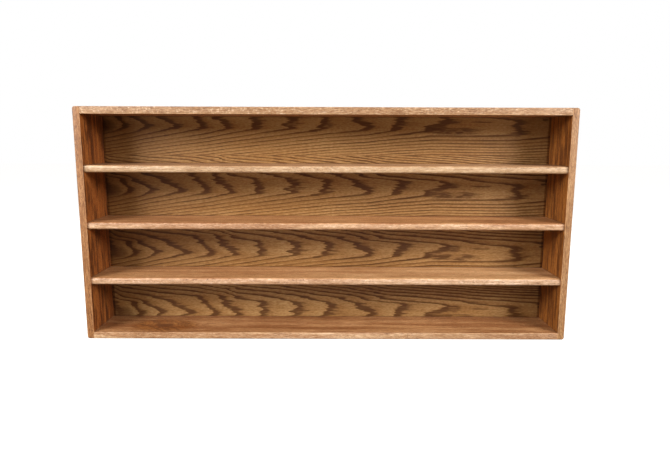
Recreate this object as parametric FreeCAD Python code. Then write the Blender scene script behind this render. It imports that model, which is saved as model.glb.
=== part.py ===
"""An open oak storage cabinet: a wide, shallow case with four rows.

Two solid oak sides run the full height. A top and a bottom board stand between them, and three
fixed shelves with rounded front edges are housed in the sides. A veneered panel closes the back.
Countersunk screws under flush oak plugs hold the boards, and small ones hold the panel.

Sizes are millimetres. X is to the right, Y is from the front to the back and Z is up. The origin is
at the middle of the underside.
"""
import FreeCAD
import Part

import math
import os

# Overall sizes
case_width = 1320.8        # 52 in over the sides
inner_depth = 158.75       # 6 1/4 in from the front edges to the back panel
row_height = 133.35        # 5 1/4 in clear in each row
shelf_names = ("upper_shelf", "middle_shelf", "lower_shelf")

# Board thicknesses
side_thickness = 19.05
deck_thickness = 19.05     # the top and the bottom board
shelf_thickness = 19.05
panel_thickness = 6.35

# Edges
corner_radius = 6.35       # ends of the sides, seen from the front
front_radius = 3.175       # outer front edge, all the way round the case
shelf_front_radius = 6.35  # upper and lower front edges of a shelf
eased_radius = 0.5         # every other long edge
shelf_setback = 5.0        # front of a shelf behind the front of the case

# Joints between the boards
housing_depth = 4.7625     # how far a shelf end goes into a side
housing_stop = 25.4        # the housing starts this far behind the front of the case
housing_gap = 0.1          # glue gap round a shelf end
rabbet_width = 9.525       # how far the back panel laps each board
panel_gap = 0.4            # between the back panel and its rabbet

# Screws through the sides, and the plugs that cover them
screw_inset = 36.0         # from the front edge, and from the back panel
screw_length = 44.0
screw_head_radius = 4.1
screw_head_height = 2.7
screw_shank_radius = 2.1
screw_shank_length = 18.0  # head included
screw_core_radius = 1.45
screw_thread_pitch = 2.8
screw_tip_length = 5.0
plug_radius = 4.7625
plug_length = 5.0
plug_gap = 0.05            # glue gap round a plug

# Screws through the back panel
panel_screw_length = 16.0
panel_screw_head_radius = 3.4
panel_screw_head_height = 2.0
panel_screw_shank_radius = 1.75
panel_screw_shank_length = 5.0
panel_screw_core_radius = 1.2
panel_screw_thread_pitch = 2.2
panel_screw_tip_length = 3.0
edge_screw_spacing = 215.0   # at most, along the top and the bottom
shelf_screw_spacing = 260.0  # at most, along a shelf
end_screw_margin = 60.0      # from the inner face of a side to the first screw

# Both kinds of screw
hole_clearance = 0.1
thread_root_start = 0.3    # the narrow part between two threads, as shares of the pitch
thread_root_end = 0.7
drive_width_share = 0.16   # a slot of the cross, as a share of the head's diameter
drive_length_share = 0.62
drive_depth_share = 0.6    # as a share of the head's height

# How far a cutting block runs past a face
overrun = 1.0

# Worked out
case_depth = inner_depth + panel_thickness
row_count = len(shelf_names) + 1
case_height = row_count * row_height + len(shelf_names) * shelf_thickness + 2 * deck_thickness
opening_width = case_width - 2 * side_thickness
opening_height = case_height - 2 * deck_thickness
front_y = -case_depth / 2
rear_y = case_depth / 2
panel_front_y = rear_y - panel_thickness
inner_x = opening_width / 2
outer_x = case_width / 2
front_screw_y = front_y + screw_inset
rear_screw_y = panel_front_y - screw_inset


def vector(x, y, z):
    return FreeCAD.Vector(x, y, z)


def block(low, high):
    """A box from its lowest to its highest corner."""
    size = [high[i] - low[i] for i in range(3)]
    return Part.makeBox(size[0], size[1], size[2], vector(*low))


def edges_where(shape, test):
    """The edges whose every sampled point passes the test."""
    found = []
    for edge in shape.Edges:
        samples = [edge.valueAt(edge.FirstParameter + share * (edge.LastParameter - edge.FirstParameter))
                   for share in (0.0, 0.25, 0.5, 0.75, 1.0)]
        if all(test(point) for point in samples):
            found.append(edge)
    return found


def near(a, b):
    return abs(a - b) < 1e-4


def outer_edges_at(board, y, inner_side_x):
    """The edges of a side's front or rear face, but not the one at its inner face."""
    chain = edges_where(board, lambda p: near(p.y, y))
    inner = edges_where(board, lambda p: near(p.y, y) and near(p.x, inner_side_x))
    return [edge for edge in chain if not any(edge.isSame(other) for other in inner)]


def shelf_bottom(index):
    """Height of a shelf's lower face, counting from the uppermost shelf."""
    rows_below = row_count - 1 - index
    return deck_thickness + rows_below * row_height + (rows_below - 1) * shelf_thickness


# Screws


def screw(length, head_radius, head_height, shank_radius, shank_length, core_radius, pitch, tip_length):
    """A countersunk screw along +X with its head's flat face at X = 0 and its thread drawn as rings."""
    thread_end = length - tip_length
    turns = int((thread_end - shank_length) / pitch)
    profile = [(0, 0), (0, head_radius), (head_height, shank_radius), (shank_length, shank_radius)]
    for turn in range(turns):
        start = shank_length + turn * pitch
        profile.append((start + thread_root_start * pitch, core_radius))
        profile.append((start + thread_root_end * pitch, core_radius))
        profile.append((start + pitch, shank_radius))
    profile.append((thread_end + thread_root_start * pitch, core_radius))
    profile.append((length, 0))
    wire = Part.makePolygon([vector(x, r, 0) for x, r in profile] + [vector(0, 0, 0)])
    body = Part.Face(wire).revolve(vector(0, 0, 0), vector(1, 0, 0), 360)
    half_width = drive_width_share * head_radius
    half_length = drive_length_share * head_radius
    depth = drive_depth_share * head_height
    slots = [block((-overrun, -half_width, -half_length), (depth, half_width, half_length)),
             block((-overrun, -half_length, -half_width), (depth, half_length, half_width))]
    return body.cut(slots)


def screw_hole(length, head_radius, head_height, shank_radius):
    """What a screw needs cleared: its countersink, and a straight hole as wide as its thread."""
    countersink = Part.makeCone(head_radius, shank_radius, head_height, vector(0, 0, 0), vector(1, 0, 0))
    straight = Part.makeCylinder(shank_radius + hole_clearance, length + hole_clearance,
                                 vector(0, 0, 0), vector(1, 0, 0))
    return countersink.fuse(straight)


def side_screw():
    return screw(screw_length, screw_head_radius, screw_head_height, screw_shank_radius,
                 screw_shank_length, screw_core_radius, screw_thread_pitch, screw_tip_length)


def panel_screw():
    return screw(panel_screw_length, panel_screw_head_radius, panel_screw_head_height,
                 panel_screw_shank_radius, panel_screw_shank_length, panel_screw_core_radius,
                 panel_screw_thread_pitch, panel_screw_tip_length)


def side_screw_hole():
    """The plug's counterbore and the screw's own hole behind it, along +X from the outer face."""
    bore = Part.makeCylinder(plug_radius + plug_gap, plug_length + plug_gap,
                             vector(0, 0, 0), vector(1, 0, 0))
    hole = screw_hole(screw_length, screw_head_radius, screw_head_height, screw_shank_radius)
    hole.translate(vector(plug_length + plug_gap, 0, 0))
    return bore.fuse(hole)


def at_side(shape, side, y, z, depth=0.0):
    """A shape made along +X from an outer face, set into the left (-1) or the right (+1) side."""
    placed = shape.copy()
    if side > 0:
        placed.rotate(vector(0, 0, 0), vector(0, 0, 1), 180)
    placed.translate(vector(side * (outer_x - depth), y, z))
    return placed


def at_back(shape, x, z):
    """A shape made along +X, turned to go forwards from the back face."""
    placed = shape.copy()
    placed.rotate(vector(0, 0, 0), vector(0, 0, 1), -90)
    placed.translate(vector(x, rear_y, z))
    return placed


def evenly(low, high, spacing):
    """Places from low to high that are no further apart than the spacing."""
    gaps = math.ceil((high - low) / spacing)
    return [low + (high - low) * i / gaps for i in range(gaps + 1)]


# Where the screws go

board_heights = {"top_board": case_height - deck_thickness / 2, "bottom_board": deck_thickness / 2}
for index, name in enumerate(shelf_names):
    board_heights[name] = shelf_bottom(index) + shelf_thickness / 2
side_screw_places = {
    board: [(side, y, height) for side in (-1, 1) for y in (front_screw_y, rear_screw_y)]
    for board, height in board_heights.items()
}

lap_middle = rabbet_width / 2
screw_span = inner_x - end_screw_margin
edge_xs = evenly(-screw_span, screw_span, edge_screw_spacing)
shelf_xs = evenly(-screw_span, screw_span, shelf_screw_spacing)
row_middles = [deck_thickness + row * (row_height + shelf_thickness) + row_height / 2
               for row in range(row_count)]
panel_screw_places = {
    "top_board": [(x, case_height - deck_thickness + lap_middle) for x in edge_xs],
    "bottom_board": [(x, deck_thickness - lap_middle) for x in edge_xs],
    "left_side": [(-inner_x - lap_middle, z) for z in row_middles],
    "right_side": [(inner_x + lap_middle, z) for z in row_middles],
}
for name in shelf_names:
    panel_screw_places[name] = [(x, board_heights[name]) for x in shelf_xs]


def with_holes(shape, board):
    """Cuts every screw and plug hole that a board has."""
    if board.endswith("_side"):
        side = -1 if board == "left_side" else 1
        every_place = [place for places in side_screw_places.values() for place in places]
        side_places = [place for place in every_place if place[0] == side]
    else:
        side_places = side_screw_places.get(board, [])
    tools = [at_side(side_screw_hole(), *place) for place in side_places]
    back_hole = screw_hole(panel_screw_length, panel_screw_head_radius, panel_screw_head_height,
                           panel_screw_shank_radius)
    tools += [at_back(back_hole, *place) for place in panel_screw_places.get(board, [])]
    return shape.cut(tools)


# Boards


def span(a, b):
    """Two places in rising order, so that one rule makes a left and a right piece."""
    return (a, b) if a < b else (b, a)


def side_blank(side):
    """A side with its rounded edges, before anything is cut into it."""
    low_x, high_x = span(side * inner_x, side * outer_x)
    blank = block((low_x, front_y, 0), (high_x, rear_y, case_height))
    blank = blank.makeFillet(corner_radius, edges_where(
        blank, lambda p: near(p.x, side * outer_x) and (near(p.z, 0) or near(p.z, case_height))))
    blank = blank.makeFillet(front_radius, outer_edges_at(blank, front_y, side * inner_x))
    return blank.makeFillet(eased_radius, outer_edges_at(blank, rear_y, side * inner_x))


def easing(side):
    """What is taken off the inner front edge of a side, between the top and the bottom board."""
    centre_x = side * (inner_x + eased_radius)
    low_x, high_x = span(side * inner_x, centre_x)
    top = deck_thickness + opening_height
    corner = block((low_x, front_y, deck_thickness), (high_x, front_y + eased_radius, top))
    round_bar = Part.makeCylinder(eased_radius, opening_height,
                                  vector(centre_x, front_y + eased_radius, deck_thickness))
    return corner.cut(round_bar)


def side_board(side):
    """A full-height side with a rabbet for the panel and a housing for each shelf."""
    low_x, high_x = span(side * (inner_x - overrun), side * (inner_x + rabbet_width))
    rabbet = block((low_x, panel_front_y, deck_thickness - rabbet_width),
                   (high_x, rear_y + overrun, case_height - deck_thickness + rabbet_width))
    tools = [rabbet, easing(side)]
    low_x, high_x = span(side * (inner_x - overrun), side * (inner_x + housing_depth))
    for index in range(len(shelf_names)):
        bottom = shelf_bottom(index)
        tools.append(block((low_x, front_y + housing_stop, bottom - housing_gap),
                           (high_x, panel_front_y, bottom + shelf_thickness + housing_gap)))
    return with_holes(side_blank(side).cut(tools), "left_side" if side < 0 else "right_side")


def deck_board(name):
    """The top or the bottom board, between the sides, with a rabbet along its inner rear edge."""
    is_top = name == "top_board"
    low_z = case_height - deck_thickness if is_top else 0
    high_z = low_z + deck_thickness
    outer_z, inner_z = (high_z, low_z) if is_top else (low_z, high_z)
    board = block((-inner_x, front_y, low_z), (inner_x, rear_y, high_z))
    board = board.makeFillet(front_radius, edges_where(
        board, lambda p: near(p.y, front_y) and near(p.z, outer_z)))
    board = board.makeFillet(eased_radius, edges_where(
        board, lambda p: near(p.y, front_y) and near(p.z, inner_z)) + edges_where(
        board, lambda p: near(p.y, rear_y) and near(p.z, outer_z)))
    outwards = 1 if is_top else -1
    rabbet_low, rabbet_high = span(inner_z - outwards * overrun, inner_z + outwards * rabbet_width)
    rabbet = block((-inner_x - overrun, panel_front_y, rabbet_low),
                   (inner_x + overrun, rear_y + overrun, rabbet_high))
    return with_holes(board.cut(rabbet), name)


def shelf_board(name):
    """A shelf with a rounded front. Its ends go into the housings and are cut back at the front."""
    bottom = board_heights[name] - shelf_thickness / 2
    top = bottom + shelf_thickness
    shelf_front_y = front_y + shelf_setback
    reach = inner_x + housing_depth - housing_gap
    board = block((-reach, shelf_front_y, bottom), (reach, panel_front_y, top))
    board = board.makeFillet(shelf_front_radius, edges_where(
        board, lambda p: near(p.y, shelf_front_y) and (near(p.z, bottom) or near(p.z, top))))
    notches = []
    for side in (-1, 1):
        low_x, high_x = span(side * inner_x, side * (reach + overrun))
        notches.append(block((low_x, front_y, bottom - overrun),
                             (high_x, front_y + housing_stop + housing_gap, top + overrun)))
    return with_holes(board.cut(notches), name)


def back_panel():
    """The veneered panel, let into the rabbets flush with the back of the case."""
    half_width = inner_x + rabbet_width - panel_gap
    low_z = deck_thickness - rabbet_width + panel_gap
    high_z = case_height - low_z
    panel = block((-half_width, panel_front_y, low_z), (half_width, rear_y, high_z))
    hole = screw_hole(panel_screw_length, panel_screw_head_radius, panel_screw_head_height,
                      panel_screw_shank_radius)
    places = [place for places in panel_screw_places.values() for place in places]
    return panel.cut([at_back(hole, *place) for place in places])


# Fastenings


def screws_into(board):
    """The screws that go through the sides into one board."""
    return Part.makeCompound([at_side(side_screw(), *place, plug_length + plug_gap)
                              for place in side_screw_places[board]])


def plugs_over(board):
    """The oak plugs over one board's screws, flush with the sides."""
    plug = Part.makeCylinder(plug_radius, plug_length, vector(0, 0, 0), vector(1, 0, 0))
    blanks = {side: side_blank(side) for side in (-1, 1)}
    return Part.makeCompound([at_side(plug, *place).common(blanks[place[0]])
                              for place in side_screw_places[board]])


def panel_screws_into(board):
    """The small screws that hold the back panel to one board."""
    return Part.makeCompound([at_back(panel_screw(), *place) for place in panel_screw_places[board]])


def main():
    pieces = {
        "left_side": side_board(-1),
        "right_side": side_board(1),
        "top_board": deck_board("top_board"),
        "bottom_board": deck_board("bottom_board"),
        "back_panel": back_panel(),
    }
    for name in shelf_names:
        pieces[name] = shelf_board(name)
    for board in side_screw_places:
        pieces[board + "_screws"] = screws_into(board)
        pieces[board + "_plugs"] = plugs_over(board)
    for board in panel_screw_places:
        pieces["panel_screws_" + board] = panel_screws_into(board)
    os.makedirs("parts", exist_ok=True)
    for name, shape in pieces.items():
        shape.exportStep(os.path.join("parts", name + ".step"))
        print(f"{name}: {len(shape.Solids)} solids, {shape.Volume / 1000:.1f} cm3, valid {shape.isValid()}")


main()
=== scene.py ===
# Open oak storage cabinet: boards, veneer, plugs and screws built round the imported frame
import math

import bmesh
import bpy
from mathutils import Euler, Matrix, Vector


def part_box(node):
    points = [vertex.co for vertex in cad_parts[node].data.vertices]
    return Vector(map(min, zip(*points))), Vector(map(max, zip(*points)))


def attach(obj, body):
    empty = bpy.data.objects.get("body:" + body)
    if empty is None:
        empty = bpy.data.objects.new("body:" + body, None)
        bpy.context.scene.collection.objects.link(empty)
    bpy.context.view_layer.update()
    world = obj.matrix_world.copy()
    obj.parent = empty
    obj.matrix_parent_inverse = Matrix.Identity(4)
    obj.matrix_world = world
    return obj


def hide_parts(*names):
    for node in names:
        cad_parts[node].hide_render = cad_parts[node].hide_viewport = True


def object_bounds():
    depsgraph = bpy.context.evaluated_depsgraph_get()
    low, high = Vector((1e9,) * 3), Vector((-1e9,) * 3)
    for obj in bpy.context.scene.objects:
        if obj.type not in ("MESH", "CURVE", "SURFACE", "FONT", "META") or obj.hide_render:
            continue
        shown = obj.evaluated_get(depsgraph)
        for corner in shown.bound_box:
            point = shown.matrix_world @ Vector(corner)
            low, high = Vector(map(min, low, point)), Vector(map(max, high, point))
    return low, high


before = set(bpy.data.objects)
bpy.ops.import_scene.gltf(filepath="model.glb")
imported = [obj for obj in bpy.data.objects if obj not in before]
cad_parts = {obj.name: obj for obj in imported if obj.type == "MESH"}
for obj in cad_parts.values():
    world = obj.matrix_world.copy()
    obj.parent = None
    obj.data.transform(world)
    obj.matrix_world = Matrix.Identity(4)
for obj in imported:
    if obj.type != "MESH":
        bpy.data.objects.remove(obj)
cadLow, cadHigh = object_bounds()
mm = 0.001
shelfNames = ("upper_shelf", "middle_shelf", "lower_shelf")
boardNames = ("top_board",) + shelfNames + ("bottom_board",)
sideNames = ("left_side", "right_side")
print("frame loaded:", len(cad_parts), "nodes")


# Places that the frame gives, in metres

def boxOf(name):
    low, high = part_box(name)
    return Vector(low), Vector(high)


def islandsOf(name):
    # the box of each separate solid in one node, from left to right
    mesh = bmesh.new()
    mesh.from_mesh(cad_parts[name].data)
    bmesh.ops.remove_doubles(mesh, verts=mesh.verts, dist=1e-6)
    unseen = set(mesh.verts)
    boxes = []
    for start in mesh.verts:
        if start not in unseen:
            continue
        unseen.discard(start)
        reached, solid = [start], [start]
        while reached:
            vert = reached.pop()
            for edge in vert.link_edges:
                other = edge.other_vert(vert)
                if other in unseen:
                    unseen.discard(other)
                    reached.append(other)
                    solid.append(other)
        low = Vector([min(vert.co[i] for vert in solid) for i in range(3)])
        high = Vector([max(vert.co[i] for vert in solid) for i in range(3)])
        boxes.append((low, high))
    mesh.free()
    return sorted(boxes, key=lambda box: [round(value, 5) for value in (box[0] + box[1])])


outerX = cadHigh.x
frontY, rearY = cadLow.y, cadHigh.y
topZ = cadHigh.z
innerX = boxOf("top_board")[1].x
deckTopZ = boxOf("bottom_board")[1].z
panelFrontY = boxOf("back_panel")[0].y
rowPitch = (topZ - deckTopZ) / (len(shelfNames) + 1)


# Node building

class NodeMaker:
    # Adds nodes to one tree; a value may be a number, a colour or another node's output
    def __init__(self, tree):
        self.tree = tree

    def put(self, socket, value):
        if isinstance(value, bpy.types.NodeSocket):
            self.tree.links.new(value, socket)
        else:
            socket.default_value = value

    def add(self, kind, values=None, **settings):
        node = self.tree.nodes.new(kind)
        for name, value in settings.items():
            setattr(node, name, value)
        for key, value in (values or {}).items():
            self.put(node.inputs[key], value)
        return node

    def math(self, operation, a, b=0.0, c=0.0, clamp=False):
        return self.add("ShaderNodeMath", {0: a, 1: b, 2: c}, operation=operation,
                        use_clamp=clamp).outputs[0]

    def plus(self, a, b):
        return self.math("ADD", a, b)

    def less(self, a, b):
        return self.math("SUBTRACT", a, b)

    def times(self, a, b):
        return self.math("MULTIPLY", a, b)

    def ramp(self, value, low, high, fromValue=0.0, toValue=1.0):
        # an eased step from fromValue at low to toValue at high
        return self.add("ShaderNodeMapRange", {"Value": value, "From Min": low, "From Max": high,
                                               "To Min": fromValue, "To Max": toValue},
                        interpolation_type="SMOOTHSTEP").outputs["Result"]

    def vector(self, operation, a, b):
        return self.add("ShaderNodeVectorMath", {0: a, 1: b}, operation=operation).outputs[0]

    def xyz(self, x, y, z):
        return self.add("ShaderNodeCombineXYZ", {0: x, 1: y, 2: z}).outputs[0]

    def split(self, vector):
        return self.add("ShaderNodeSeparateXYZ", {0: vector}).outputs

    def noise(self, vector, size, detail=1.0, roughness=0.5, output="Fac"):
        # size is the length of one ripple along each axis
        stretched = self.vector("DIVIDE", vector, size)
        return self.add("ShaderNodeTexNoise", {"Vector": stretched, "Scale": 1.0, "Detail": detail,
                                               "Roughness": roughness}).outputs[output]

    def blend(self, factor, a, b, mode="MIX"):
        node = self.add("ShaderNodeMix", data_type="RGBA", blend_type=mode)
        self.put(node.inputs[0], factor)
        self.put(node.inputs[6], a)
        self.put(node.inputs[7], b)
        return node.outputs[2]

    def tint(self, shade, green, blue):
        # a shade as a colour that turns yellower as it gets lighter
        return self.xyz(shade, self.math("POWER", shade, green), self.math("POWER", shade, blue))

    def random(self, low, high, seed):
        # one value, or one vector, for each point or instance
        isVector = isinstance(low, tuple)
        first = 0 if isVector else 2
        node = self.add("FunctionNodeRandomValue", {first: low, first + 1: high, "Seed": seed},
                        data_type="FLOAT_VECTOR" if isVector else "FLOAT")
        return node.outputs[0 if isVector else 1]


def newGroup(name, inputs, outputs):
    # inputs are (name, type, default) and outputs (name, type)
    group = bpy.data.node_groups.new(name, "ShaderNodeTree")
    for socketName, kind, default in inputs:
        socket = group.interface.new_socket(name=socketName, in_out="INPUT", socket_type="NodeSocket" + kind)
        socket.default_value = default
    for socketName, kind in outputs:
        group.interface.new_socket(name=socketName, in_out="OUTPUT", socket_type="NodeSocket" + kind)
    make = NodeMaker(group)
    return group, make, make.add("NodeGroupInput").outputs, make.add("NodeGroupOutput").inputs


def newMaterial(name, coat=0.0, metallic=0.0, shine=0.5):
    material = bpy.data.materials.new(name)
    material.use_nodes = True
    make = NodeMaker(material.node_tree)
    shader = material.node_tree.nodes["Principled BSDF"]
    shader.inputs["Metallic"].default_value = metallic
    shader.inputs["Specular IOR Level"].default_value = shine
    shader.inputs["Coat Weight"].default_value = coat
    shader.inputs["Coat Roughness"].default_value = 0.25
    return material, make, shader


def inMillimetres(make, vector):
    return make.vector("MULTIPLY", vector, (1 / mm, 1 / mm, 1 / mm))


# Shared effects

def makeEdgeWearAndHighlight():
    # 1 along the edges of a box, broken up by noise; everything in millimetres
    group, make, given, out = newGroup("edgeWearAndHighlight", [
        ("Position", "Vector", (0, 0, 0)), ("Centre", "Vector", (0, 0, 0)),
        ("Half Size", "Vector", (1, 1, 1)), ("Width", "Float", 2.0)], [("Mask", "Float")])
    offset = make.vector("SUBTRACT", given["Position"], given["Centre"])
    inside = make.vector("ABSOLUTE", offset, (0, 0, 0))
    gaps = make.split(make.vector("SUBTRACT", given["Half Size"], inside))
    lower = make.math("MINIMUM", gaps[0], gaps[1])
    upper = make.math("MAXIMUM", gaps[0], gaps[1])
    middle = make.math("MAXIMUM", lower, make.math("MINIMUM", upper, gaps[2]))  # second smallest gap
    broken = make.noise(given["Position"], (38, 14, 14), detail=3.0)
    reach = make.times(given["Width"], make.ramp(broken, 0.3, 0.75, 0.2, 1.5))
    near = make.math("DIVIDE", middle, reach)
    make.put(out["Mask"], make.ramp(near, 0.15, 1.0, 1.0, 0.0))
    return group


def makeCornerShadeAndGrime():
    # 1 along the inside corners of the rows: painted shade where the corners lie in shade, with some gathered finish
    #                                         and dust; in millimetres
    group, make, given, out = newGroup("cornerShadeAndGrime", [
        ("Position", "Vector", (0, 0, 0)), ("Width", "Float", 2.0)], [("Mask", "Float")])
    x, y, z = make.split(given["Position"])
    gapX = make.less(innerX / mm, make.math("ABSOLUTE", x))
    gapY = make.less(panelFrontY / mm, y)
    height = make.times(make.math("FRACT", make.math("DIVIDE", z, rowPitch / mm)), rowPitch / mm)
    toUnderside = make.math("MINIMUM", height, make.less(rowPitch / mm, height))
    toTop = make.math("ABSOLUTE", make.less(height, deckTopZ / mm))
    gapZ = make.math("MINIMUM", toUnderside, toTop)
    lower = make.math("MINIMUM", gapX, gapY)
    upper = make.math("MAXIMUM", gapX, gapY)
    middle = make.math("MAXIMUM", lower, make.math("MINIMUM", upper, gapZ))    # second smallest gap
    uneven = make.noise(given["Position"], (45, 30, 30), detail=2.0)
    near = make.math("DIVIDE", middle, make.times(given["Width"], make.ramp(uneven, 0.3, 0.7, 0.5, 1.6)))
    inRow = make.math("GREATER_THAN", lower, -0.2)
    make.put(out["Mask"], make.times(make.ramp(near, 0.0, 1.0, 1.0, 0.0), inRow))
    return group


def makeOakGrain():
    # A block of oak with its pith along X, in millimetres: rings, pores, rays, streaks and one knot
    group, make, given, out = newGroup("oakGrain", [
        ("Position", "Vector", (0, 0, 0)), ("Seed", "Float", 0.0), ("Ring Width", "Float", 2.8),
        ("Wander", "Float", 9.0), ("Knot Place", "Vector", (0, 0, -900)),
        ("Knot Size", "Vector", (1, 1, 1)), ("Knot Tone", "Color", (0.80, 0.66, 0.44, 1)), ("Light", "Color", (0.6, 0.37, 0.2, 1)),
        ("Dark", "Color", (0.4, 0.2, 0.1, 1)), ("Pore", "Color", (0.15, 0.06, 0.03, 1)),
        ("Ray", "Color", (0.7, 0.47, 0.3, 1)), ("Streak", "Color", (0.4, 0.2, 0.1, 1)),
        ("Ring Contrast", "Float", 0.5),
        ("Pore Contrast", "Float", 0.6), ("Ray Contrast", "Float", 0.3),
        ("Streak Contrast", "Float", 0.4), ("Streak Size", "Vector", (560, 21, 21)),
        ("Mottle", "Float", 0.14)],
        [("Color", "Color"), ("Height", "Float"), ("Rough", "Float")])
    toKnot = make.split(make.vector("DIVIDE", make.vector("SUBTRACT", given["Position"], given["Knot Place"]),
                                    given["Knot Size"]))
    far = make.plus(make.plus(make.times(toKnot[0], toKnot[0]), make.times(toKnot[1], toKnot[1])),
                    make.times(toKnot[2], toKnot[2]))
    knot = make.math("EXPONENT", make.times(far, -1.0))
    x, y, z = make.split(given["Position"])
    along = make.plus(x, make.times(given["Seed"], 917.0))
    place = make.xyz(along, y, z)
    drift = make.split(make.noise(place, (330, 70, 70), detail=1.5, output="Color"))
    ry = make.plus(y, make.times(make.less(drift[0], 0.5), given["Wander"]))
    rz = make.plus(z, make.times(make.less(drift[1], 0.5), given["Wander"]))
    radius = make.math("SQRT", make.plus(make.times(ry, ry), make.times(rz, rz)))
    radius = make.plus(radius, make.times(knot, 24.0))
    around = make.times(make.math("ARCTAN2", ry, rz), 80.0)
    polar = make.xyz(along, radius, around)
    # rings: open early wood at the start of each year, then dense late wood
    feather = make.noise(polar, (45, 1.6, 1.6), detail=1.0)
    uneven = make.noise(make.xyz(0.0, radius, 0.0), (1, 13, 1), detail=1.0)
    year = make.plus(make.math("DIVIDE", radius, given["Ring Width"]),
                     make.plus(make.times(make.less(feather, 0.5), 0.5),
                               make.times(make.less(uneven, 0.5), 3.0)))
    phase = make.math("FRACT", year)
    early = make.times(make.ramp(phase, 0.0, 0.1), make.ramp(phase, 0.2, 0.6, 1.0, 0.0))
    # pores: thin dark channels along the grain, thickest in the early wood, and clusters of them
    porosity = make.ramp(early, 0.0, 1.0, 0.4, 1.0)
    poreField = make.noise(polar, (12, 0.5, 0.5), detail=0.0)
    pores = make.times(make.ramp(poreField, 0.54, 0.67), porosity)
    clusterField = make.noise(make.vector("ADD", polar, (57, 11, 23)), (5.0, 1.9, 1.9), detail=1.5)
    crowded = make.ramp(make.noise(place, (90, 17, 17), detail=1.0), 0.4, 0.62, 0.35, 1.0)
    clusters = make.times(make.ramp(clusterField, 0.53, 0.64), make.times(crowded, porosity))
    # rays: plates that stand along the radius, wide on a quartered face and thin on others
    slanted = make.xyz(make.plus(along, make.times(radius, 0.3)), radius, around)
    rayField = make.noise(slanted, (7.5, 17, 0.8), detail=2.5, roughness=0.6)
    rays = make.ramp(rayField, 0.52, 0.63)
    fibre = make.noise(polar, (90, 0.9, 1.3), detail=3.0, roughness=0.6)
    cloud = make.noise(place, (260, 34, 34), detail=2.0)
    mottle = make.noise(polar, (15, 2.8, 2.8), detail=2.0, roughness=0.6)
    streak = make.ramp(make.noise(place, given["Streak Size"], detail=2.0), 0.46, 0.58)
    patches = make.noise(place, (42, 11, 11), detail=2.0, roughness=0.6)
    color = make.blend(make.times(streak, given["Streak Contrast"]), given["Light"], given["Streak"])
    color = make.blend(make.ramp(fibre, 0.3, 0.7, 0.0, 0.35), color, given["Dark"])
    color = make.blend(make.times(early, given["Ring Contrast"]), color, given["Dark"])
    color = make.blend(make.times(rays, given["Ray Contrast"]), color, given["Ray"])
    color = make.blend(make.times(clusters, given["Pore Contrast"]), color, given["Pore"])
    color = make.blend(make.times(pores, make.times(given["Pore Contrast"], 0.8)), color, given["Pore"])
    aslant = make.xyz(make.plus(along, make.times(around, 1.2)), radius, around)
    flame = make.ramp(make.noise(aslant, (10, 22, 30), detail=2.0), 0.46, 0.58, 0.0, 0.6)
    flame = make.math("MAXIMUM", flame, make.ramp(knot, 0.85, 0.98, 0.0, 0.85))
    nearKnot = make.ramp(knot, 0.12, 0.5)
    color = make.blend(nearKnot, color, given["Knot Tone"], mode="MULTIPLY")
    color = make.blend(make.times(nearKnot, flame), color, given["Pore"])
    mottled = make.plus(1.0, make.times(make.ramp(mottle, 0.28, 0.72, -1.0, 1.0), given["Mottle"]))
    shade = make.times(make.ramp(cloud, 0.25, 0.75, 0.86, 1.1), mottled)
    shade = make.times(shade, make.ramp(patches, 0.28, 0.72, 0.89, 1.11))
    color = make.blend(1.0, color, make.tint(shade, 1.4, 1.9), mode="MULTIPLY")
    make.put(out["Color"], color)
    deep = make.plus(make.times(pores, 0.8), make.times(clusters, 0.4))
    make.put(out["Height"], make.less(make.times(fibre, 0.25), deep))
    make.put(out["Rough"], make.plus(0.38, make.plus(make.times(deep, 0.22), make.times(fibre, 0.12))))
    return group


# Leaves of veneer, one above the other, all with the same flat-sawn figure; everything in mm
veneerFigure = {
    "leafHeight": 184.0,
    "firstSeam": 129.0,        # below the top of the case
    "slide": 6.0,              # each leaf lies this much further right than the one above
    "tipLine": 103.0,          # below the top of a leaf, where every ring turns back
    "tipDrop": 16.0,           # how much lower the tips are at the right
    # how far right each ring reaches at the tip line, and at two heights above it
    "tips": (2, 66, 126, 203, 288, 358, 438, 530, 628, 760, 836, 928, 1196),
    "shoulders": (-16, 42, 76, 157, 262, 316, 430, 536, 638, 720, 848, 988, 1188),
    "crowns": (-60, -22, 15, 105, 242, 309, 350, 476, 567, 664, 737, 800, 1040),
    "bandWidth": 17.0,
    "bandShare": 0.22,         # of the step from one ring to the next
    "shoulderRise": 32.0,
    "crownRise": 49.0,
    "curveStart": -100.0,
    "curveEnd": 1400.0,
    # dark marks in each leaf: from the left, below the top, half length, half height and strength
    "marks": ((1272, 81, 9, 3.5, 0.9), (1093, 88, 36, 1.9, 0.9), (1010, 114, 90, 11, 0.9)),
}


def ringCurve(make, fromLeft, places):
    # counts the rings from the left; each band starts at its place and is bandWidth wide
    size = veneerFigure
    reach = size["curveEnd"] - size["curveStart"]
    share = make.math("DIVIDE", make.less(fromLeft, size["curveStart"]), reach)
    curve = make.add("ShaderNodeFloatCurve", {"Factor": 1.0, "Value": share})
    points = curve.mapping.curves[0].points
    full = len(places) + 2
    points[0].location = (0.0, 0.0)
    points[1].location = (1.0, (len(places) + 1.5) / full)
    for index, place in enumerate(places):
        start = (place - size["curveStart"]) / reach
        points.new(start, (index + 1) / full)
        points.new(start + size["bandWidth"] / reach, (index + 1 + size["bandShare"]) / full)
    for point in points:
        point.handle_type = "VECTOR"
    curve.mapping.update()
    return make.times(curve.outputs[0], full)


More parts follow.
